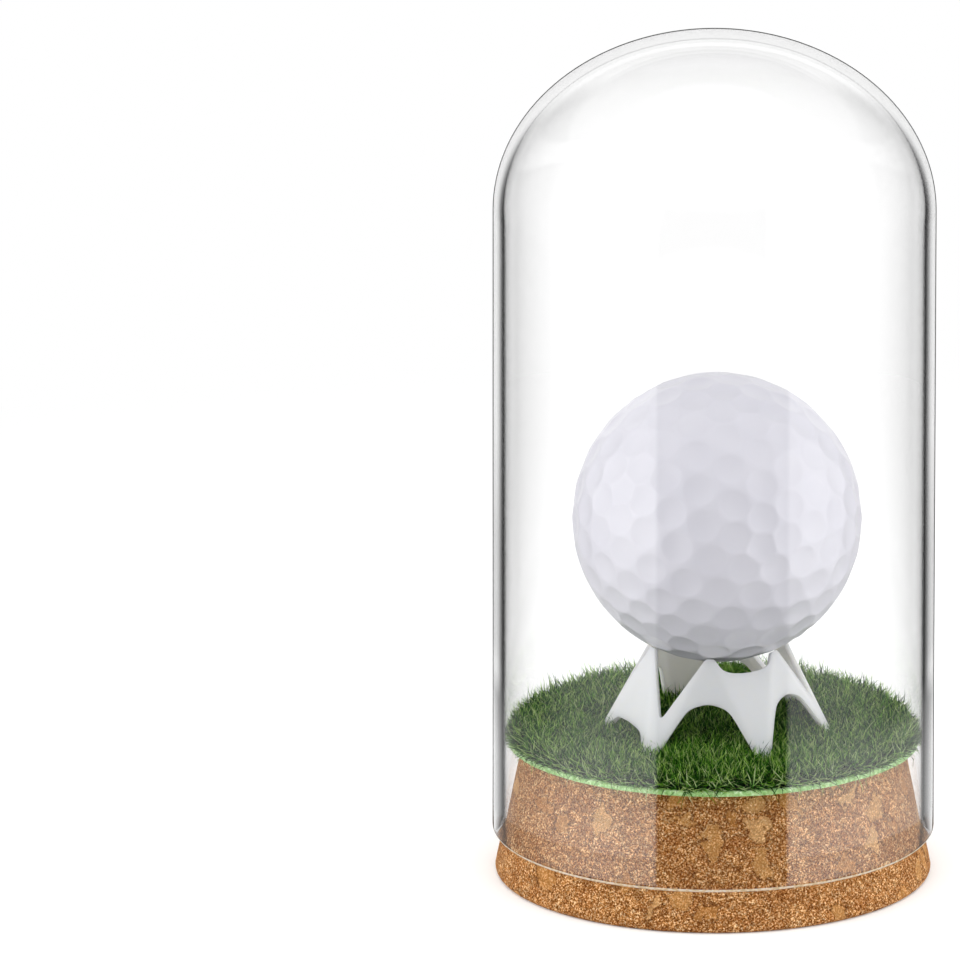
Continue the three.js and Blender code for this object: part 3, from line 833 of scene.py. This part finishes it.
# Turf: a bright backing, and dense fine blades that lean every way and spill over its edge
backingLow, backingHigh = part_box("turf_backing")
turf = {
    "radius": backingHigh[0],
    "edgeSteps": 200,
    "edgeRound": 0.12 * mm,
    "waver": 0.25 * mm, "waverScale": 6,
    "faceShare": 0.5, "waverShare": 0.9,   # shares of the radius, where these two set in
    "sliceTop": backingHigh[2] + 0.4 * mm,
    "slabInset": 0.7 * mm,
    "bladesPerSquareMetre": 13e6,
    "bladeHeight": 2.9 * mm,
    "bladeWidth": 0.19 * mm,
    "bladeThickness": 0.10 * mm,
    "bladeSegments": 3,
    "bladeKinds": 6,
    "bladeBend": 1.15,
    # how a blade narrows, thins and bends towards its tip, and how much height the bend costs
    "narrowing": 0.55, "thinning": 0.4, "bending": 1.8, "bendDrop": 0.30,
    "lean": 1.25,
    "edgeLean": 1.5,
    "edgeBand": 2.2 * mm,
    "edgePaintedLight": 0.28,         # how much paler the blades near the edge are painted, as painted light
    "reach": 30.75 * mm,      # just inside the glass
    "clearance": 0.4 * mm,
    "trodden": 2.2 * mm,      # blades nearer the stand than this are shorter
    "troddenShare": 0.4,
    "seed": 4,
    # least and most of what differs from blade to blade, and its seed
    "draws": {"hang": (0.55, 1.5, 17), "spin": (0.0, 2 * math.pi, 12), "tall": (0.72, 1.12, 13),
              "chance": (0.0, 1.0, 16), "wide": (0.65, 1.15, 14), "tone": (0.0, 0.92, 15)},
    "straySeed": 11,
    "longFrom": 0.95, "longMost": 0.8,   # the few blades that grew longer, and by how much
    # how fast the tip's colour takes over, and both ends' colours from the darkest blade to the palest: the
    # near-black roots are painted shade of the pile and the near-white tips painted highlights, over the
    # fibres' own greens
    "tipRise": 1.9,
    "rootColoursWithPaintedShade": [(0.0, "#021000"), (0.6, "#082a00"), (0.85, "#164c02"), (1.0, "#509a24")],
    "tipColoursWithPaintedHighlight": [(0.0, "#0e4400"), (0.42, "#247002"), (0.58, "#72c01a"), (0.74, "#d0fc78"),
                  (1.0, "#fcffce")],
}


def backingMaterial():
    # Latex-backed turf base: bright green, matt and slightly mottled
    return mottledMaterial(
        "latexTurfBacking", [(0.6 * mm, 4.0, 0.65)],
        [(0.32, "#7cae5c"), (0.5, "#a6d488"), (0.68, "#e0f8cc")], 0.7,
        {"Specular IOR Level": 0.3}, bump=(0.1 * mm, 0.5))


def bladeMaterial():
    # Polyethylene grass fibre, extruded, with a slight sheen: dark green at the root, which is painted shade
    # of the pile, and yellower and paler at the tip, which is partly painted highlight
    material, add = newMaterial("polyethyleneGrassFibre")[:2]
    # the tone is each blade's own random tone plus painted light near the disc's edge
    share, tone = (add("Attribute", output="Fac", attribute_name=name)
                   for name in ("bladeShare", "bladeTone"))
    # painted shade at the root and painted highlight at the tip, by height along the blade
    rise = add("Math", [share, turf["tipRise"]], operation="POWER")
    root, tip = (add("ValToRGB", [tone], stops=turf[shades]) for shades in ("rootColoursWithPaintedShade", "tipColoursWithPaintedHighlight"))
    colour = add("Mix", {0: rise, 6: root, 7: tip}, 2, data_type="RGBA")
    looks = {"Base Color": colour, "Roughness": 0.5, "IOR": 1.5, "Specular IOR Level": 0.1}
    add("OutputMaterial", [add("BsdfPrincipled", looks)])
    return material


def bladeShape(kind):
    # a three-sided blade, bent more for each kind and drawn to a point
    bend = turf["bladeBend"] * (kind + 0.5) / turf["bladeKinds"]
    rows, tall = turf["bladeSegments"], turf["bladeHeight"]
    vertices = []
    for share in (row / rows for row in range(rows)):
        width = turf["bladeWidth"] / 2 * (1 - share) ** turf["narrowing"]
        depth = turf["bladeThickness"] / 2 * (1 - share) ** turf["thinning"]
        reach = bend * tall * share ** turf["bending"]
        rise = tall * (share - turf["bendDrop"] * bend * share ** 2)
        vertices += [(-width, reach - depth, rise), (width, reach - depth, rise), (0, reach + depth, rise)]
    vertices.append((0, bend * tall, tall * (1 - turf["bendDrop"] * bend)))
    faces = gridFaces(rows, 3) + fanFaces(3 * (rows - 1), 3, 3 * rows) + [(0, 2, 1)]
    return vertices, faces


def grassTree(sizes):
    # blades scattered over a face, turned and leant at random, more outwards near the disc's edge
    tree, add, given = newTree("grass", sizes)
    height = add("SeparateXYZ", [add("GeometryNodeInputNormal")], "Z")
    isOpen = add("FunctionNodeCompare", [height, -0.5], operation="GREATER_THAN")
    points = add("GeometryNodeDistributePointsOnFaces", {
        "Mesh": given["Geometry"], "Selection": isOpen, "Density": given["Density"], "Seed": given["Seed"]})
    keepClear = add("GeometryNodeObjectInfo", {"Object": given["Keep Clear"]}, "Geometry",
                    transform_space="ORIGINAL")
    near = add("GeometryNodeProximity", {"Geometry": keepClear}, "Distance", target_element="FACES")
    blocked = add("FunctionNodeCompare", [near, given["Clearance"]], operation="LESS_THAN")
    free = add("GeometryNodeDeleteGeometry", {"Geometry": points, "Selection": blocked}, domain="POINT")
    position = add("GeometryNodeInputPosition")
    flat = add("VectorMath", [position, (1, 1, 0)], operation="MULTIPLY")
    radius = add("VectorMath", [flat], "Value", operation="LENGTH")
    outwards = add("VectorMath", [flat], operation="NORMALIZE")
    inside = add("Math", [given["Disc Radius"], given["Edge Band"]], operation="SUBTRACT")
    edge = add("MapRange", [radius, inside, given["Disc Radius"]], interpolation_type="SMOOTHSTEP")
    draw = {name: add("FunctionNodeRandomValue", {2: least, 3: most, "Seed": seed}, 1)
            for name, (least, most, seed) in turf["draws"].items()}
    edgeLean = add("Math", [edge, given["Edge Lean"]], operation="MULTIPLY")
    push = add("VectorMath", {0: outwards, "Scale": edgeLean}, operation="SCALE")
    stray = add("FunctionNodeRandomValue", {0: (-1, -1, 0), 1: (1, 1, 0), "Seed": turf["straySeed"]},
                data_type="FLOAT_VECTOR")
    leanBy = add("VectorMath", {0: stray, "Scale": given["Lean"]}, operation="SCALE")
    tilt = add("VectorMath", [push, leanBy], operation="ADD")
    # the outermost blades lie over, and some of them hang down across the backing's edge
    hang = add("Math", [draw["hang"], edge], operation="MULTIPLY")
    rise = add("CombineXYZ", {2: add("Math", [1.0, hang], operation="SUBTRACT")})
    axis = add("VectorMath", [tilt, rise], operation="ADD")
    upright = add("FunctionNodeAlignRotationToVector", {"Vector": axis}, axis="Z")
    spin = add("FunctionNodeAxisAngleToRotation", {"Axis": (0, 0, 1), "Angle": draw["spin"]})
    rotation = add("FunctionNodeRotateRotation", {"Rotation": upright, "Rotate By": spin},
                   rotation_space="LOCAL")
    long = add("MapRange", [draw["chance"], turf["longFrom"], 1.0, 0.0, turf["longMost"]])
    tall = add("Math", [draw["tall"], long], operation="ADD")
    # the stand's feet press the blades beside them down
    trodden = add("MapRange", [near, given["Clearance"], given["Trodden"], turf["troddenShare"], 1.0])
    tall = add("Math", [tall, trodden], operation="MULTIPLY")
    kinds = add("GeometryNodeCollectionInfo", {
        "Collection": given["Blades"], "Separate Children": True, "Reset Children": True})
    blades = add("GeometryNodeInstanceOnPoints", {
        "Points": free, "Instance": kinds, "Pick Instance": True, "Rotation": rotation,
        "Scale": add("CombineXYZ", [draw["wide"], draw["wide"], tall])})
    # blades near the edge stand in more light, so they are painted paler there: painted light
    edgePaintedLight = add("Math", [edge, turf["edgePaintedLight"]], operation="MULTIPLY")
    tone = add("Math", [draw["tone"], edgePaintedLight], operation="ADD")
    toned = add("GeometryNodeStoreNamedAttribute", {"Geometry": blades, "Name": "bladeTone", "Value": tone},
                domain="INSTANCE", data_type="FLOAT")
    real = add("GeometryNodeRealizeInstances", {"Geometry": toned})
    # blades that reach too far out press against the glass
    spread = add("Math", [given["Reach"], radius], operation="DIVIDE")
    squeeze = add("Math", [spread, 1.0], operation="MINIMUM")
    keepHeight = add("CombineXYZ", [squeeze, squeeze, 1.0])
    pressed = add("VectorMath", [position, keepHeight], operation="MULTIPLY")
    held = add("GeometryNodeSetPosition", {"Geometry": real, "Position": pressed})
    joined = add("GeometryNodeJoinGeometry")
    for part in (held, given["Geometry"]):
        tree.links.new(part, joined.node.inputs[0])
    done = add("GeometryNodeSetMaterial", {"Geometry": joined, "Material": given["Finish"]})
    add("NodeGroupOutput", [done])
    return tree


def makeBacking():
    # a flat disc, from the middle of its underside round to the middle of its top
    radius, soft, low, high = turf["radius"], turf["edgeRound"], backingLow[2], backingHigh[2]
    middle = radius * turf["faceShare"]
    profile = [(middle, low), (radius - soft, low), (radius, low + soft), (radius, high - soft),
               (radius - soft, high), (middle, high)]
    sides = turf["edgeSteps"]
    vertices = latheRows(profile, sides)
    for point in vertices:   # cut by hand, so its edge wavers a little
        angle = math.atan2(point[1], point[0])
        around = Vector((math.cos(angle), math.sin(angle), 0))
        if math.hypot(*point[:2]) > radius * turf["waverShare"]:
            point[:2] *= 1 - abs(noise.noise(around * turf["waverScale"]) * turf["waver"]) / radius
    faces = gridFaces(len(profile), sides)
    faces.append(tuple(range(sides - 1, -1, -1)))
    faces.append(tuple(range(len(vertices) - sides, len(vertices))))
    piece = makeObject("turfBacking", vertices, faces, backingMaterial(), smooth=False)
    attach(piece, "base")
    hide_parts("turf_backing")


def makeBladeKinds(material):
    kinds = bpy.data.collections.new("bladeKinds")
    for kind in range(turf["bladeKinds"]):
        blade = makeObject("blade" + str(kind), *bladeShape(kind), material)
        # 0 at the root, 1 at the tip
        shares = [i // 3 / turf["bladeSegments"] for i in range(len(blade.data.vertices))]
        blade.data.attributes.new("bladeShare", "FLOAT", "POINT").data.foreach_set("value", shares)
        bpy.context.scene.collection.objects.unlink(blade)
        kinds.objects.link(blade)
    return kinds


def makeQuarter(name, start, material):
    # a quarter of the disc that the blades stand in, as a thin closed slab
    angles = np.radians(start + np.linspace(0, 90, turf["edgeSteps"] // 4 + 1))
    radius = turf["radius"] - turf["slabInset"]
    outline = [(0.0, 0.0)] + [(radius * math.cos(a), radius * math.sin(a)) for a in angles]
    vertices = [(x, y, z) for z in (backingHigh[2], turf["sliceTop"]) for x, y in outline]
    count = len(outline)
    faces = [tuple(range(count - 1, -1, -1)), tuple(range(count, 2 * count))] + gridFaces(2, count)
    return makeObject(name, vertices, faces, material, smooth=False)


def makeGrass():
    material = bladeMaterial()
    kinds = makeBladeKinds(material)
    sizes = {
        "Density": turf["bladesPerSquareMetre"], "Seed": turf["seed"], "Lean": turf["lean"],
        "Edge Lean": turf["edgeLean"], "Disc Radius": turf["radius"], "Edge Band": turf["edgeBand"],
        "Reach": turf["reach"], "Clearance": turf["clearance"], "Trodden": turf["trodden"],
        "Blades": kinds, "Keep Clear": standPiece, "Finish": material}
    tree = grassTree(sizes)
    quarters = (("rear", "right"), ("rear", "left"), ("front", "left"), ("front", "right"))
    for order, (side, end) in enumerate(quarters):
        piece = makeQuarter("turf" + side.capitalize() + end.capitalize(), 90 * order, material)
        shapeByTree(piece, tree, sizes | {"Seed": turf["seed"] + order})
        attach(piece, "base")
        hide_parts("turf_pile_" + side + "_" + end)
        print("turf quarter", side, end, "made, with", len(piece.data.polygons), "faces")
    for blade in list(kinds.objects):
        bpy.data.objects.remove(blade)
    bpy.data.collections.remove(kinds)


makeBacking()
makeGrass()


# Parts inside that stay as the solids: the adhesive sheet and the ball's core

def adhesiveMaterial():
    # Acrylic adhesive film, rolled out: pale amber, soft and slightly cloudy
    return mottledMaterial(
        "acrylicAdhesiveFilm", [(3 * mm, 3.0, 0.5)], [(0.3, "#c9b98d"), (0.7, "#ddd1ab")], (0.3, 0.45),
        {"IOR": 1.48}, bump=(0.03 * mm, 0.4))


def coreMaterial():
    # Polybutadiene rubber, press moulded: dense and matt, with fine filler specks
    return mottledMaterial(
        "mouldedPolybutadieneCore", [(0.8 * mm, 4.0, 0.7)],
        [(0.35, "#b58a2c"), (0.6, "#d9b04a"), (0.75, "#e6c878")], 0.6, {"IOR": 1.52},
        bump=(0.02 * mm, 0.4))


for nodeName, material in (("turf_adhesive", adhesiveMaterial()), ("ball_core", coreMaterial())):
    nodes[nodeName].data.materials.clear()
    nodes[nodeName].data.materials.append(material)
print("inner parts finished")
